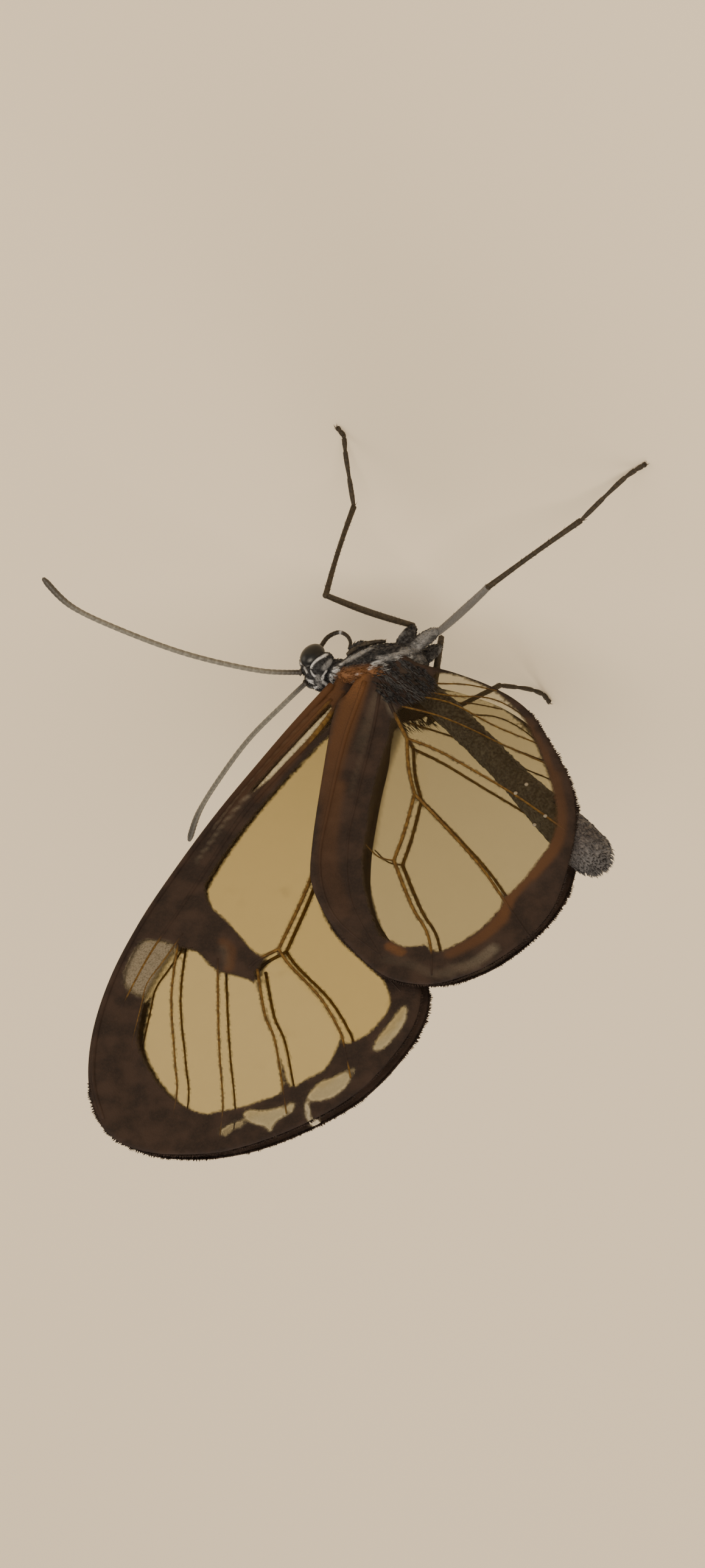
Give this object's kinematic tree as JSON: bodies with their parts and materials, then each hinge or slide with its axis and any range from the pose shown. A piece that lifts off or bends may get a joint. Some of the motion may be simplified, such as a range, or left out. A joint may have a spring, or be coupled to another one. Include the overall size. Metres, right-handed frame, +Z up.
{
  "type": "glasswing butterfly",
  "caption": "Life-size glasswing butterfly at rest, wings closed over its back, standing on its slender legs.",
  "frame": {"origin": "middle of the model's footprint, on the surface that it stands on", "axes": "+X forward towards the head, +Y the butterfly's left, +Z up from the surface"},
  "size_m": [0.0274, 0.0218, 0.0349],
  "materials": {
    "body_scales": "black scales and hair with pale grey stripes and spots",
    "abdomen_scales": "close dark grey-brown scales",
    "eye": "smooth black compound eye",
    "antenna": "ringed grey-brown filament with a darker tip",
    "proboscis": "dark curled tongue",
    "leg": "dark brown, finely haired",
    "wing": "clear amber membrane with dark veins and scaled dark brown and rufous borders"
  },
  "bodies": {
    "root": {"head": "body_scales", "thorax": "body_scales", "abdomen": "abdomen_scales", "eye_right": "eye", "eye_left": "eye", "antenna_right": "antenna", "antenna_left": "antenna", "proboscis": "proboscis", "foreleg_right": "leg", "foreleg_left": "leg", "midleg_right_femur": "leg", "midleg_right_tibia": "leg", "midleg_right_tarsus": "leg", "midleg_left_femur": "leg", "midleg_left_tibia": "leg", "midleg_left_tarsus": "leg", "hindleg_right_femur": "leg", "hindleg_right_tibia": "leg", "hindleg_right_tarsus": "leg", "hindleg_left_femur": "leg", "hindleg_left_tibia": "leg", "hindleg_left_tarsus": "leg", "forewing_right": "wing", "forewing_left": "wing", "hindwing_right": "wing", "hindwing_left": "wing"}
  },
  "joints": []
}
